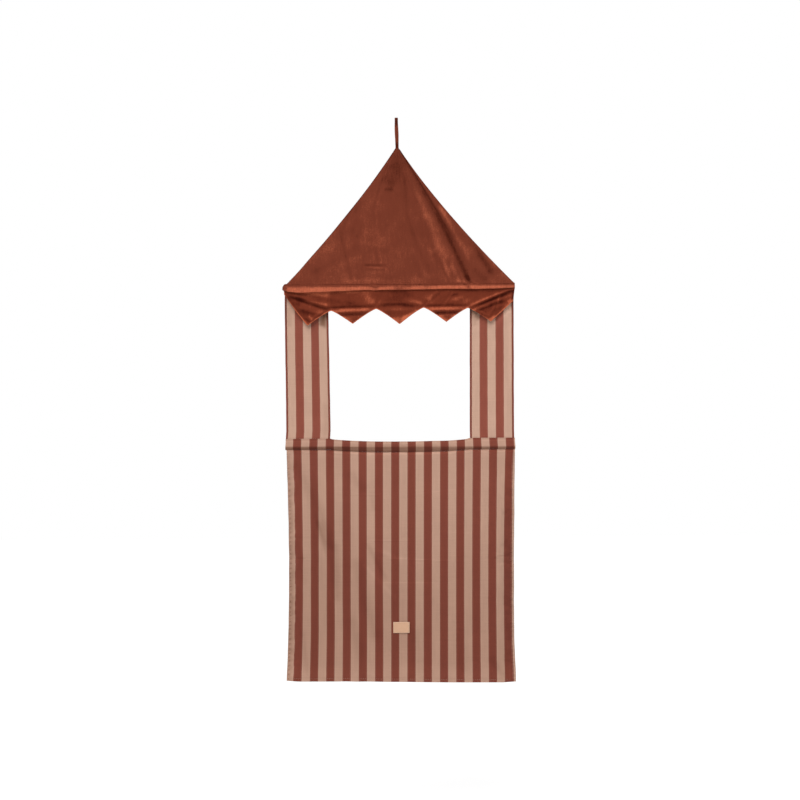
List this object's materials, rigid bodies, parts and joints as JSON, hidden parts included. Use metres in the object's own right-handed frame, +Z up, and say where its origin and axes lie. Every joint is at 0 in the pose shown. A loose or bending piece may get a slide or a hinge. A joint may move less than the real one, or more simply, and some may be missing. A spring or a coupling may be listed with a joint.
{
  "type": "hanging puppet theatre",
  "caption": "Flat cloth puppet theatre that hangs from a strap loop: velvet roof and toothed valance, striped side panels and front cloth round an open stage window, spread by wooden rods.",
  "frame": {"origin": "inside the top of the hanging loop, where the hook bears", "axes": "+Z up along the hanging cloth, +X across the stage to the audience's right, the audience side faces -Y"},
  "size_m": [0.714, 0.0424, 1.7399],
  "materials": {
    "velvet": "rust-red cotton velvet",
    "lining": "dark red plain cotton",
    "cotton": "woven cotton canvas in beige and dull red stripes",
    "tape": "dark red cotton tape",
    "wood": "bare pine dowel",
    "leather": "pale tan leather"
  },
  "bodies": {
    "loop": {"hanging_loop": "velvet"},
    "roof": {"loop_tail": "velvet", "roof_front_panel": "velvet", "roof_back_panel": "velvet", "eave_sleeve": "velvet"},
    "eave_dowel": {"eave_rod": "wood"},
    "stage": {"left_side_panel": "cotton", "left_outer_binding": "tape", "left_inner_binding": "tape", "right_side_panel": "cotton", "right_outer_binding": "tape", "right_inner_binding": "tape", "counter_sleeve": "cotton"},
    "valance": {"valance_front": "velvet", "valance_lining": "lining"},
    "counter_dowel": {"counter_rod": "wood"},
    "front": {"front_panel": "cotton", "front_left_hem": "cotton", "front_right_hem": "cotton", "front_bottom_hem": "cotton", "label": "leather"}
  },
  "joints": [
    {"name": "loop_swing", "type": "hinge", "parent": "loop", "child": "roof", "pos_m": [0, 0, -0.091], "axis": [1, 0, 0], "range_deg": [-40, 40]},
    {"name": "stage_swing", "type": "hinge", "parent": "roof", "child": "stage", "pos_m": [0, 0, -0.521], "axis": [1, 0, 0], "range_deg": [-30, 30]},
    {"name": "valance_flap", "type": "hinge", "parent": "stage", "child": "valance", "pos_m": [0, 0, -0.521], "axis": [-1, 0, 0], "range_deg": [0, 90]},
    {"name": "front_swing", "type": "hinge", "parent": "stage", "child": "front", "pos_m": [0, 0, -1.014], "axis": [1, 0, 0], "range_deg": [-60, 60]},
    {"name": "eave_rod_slide", "type": "slide", "parent": "roof", "child": "eave_dowel", "axis": [1, 0, 0], "range_m": [0, 0.71]},
    {"name": "counter_rod_slide", "type": "slide", "parent": "stage", "child": "counter_dowel", "axis": [1, 0, 0], "range_m": [-0.71, 0.71]}
  ]
}
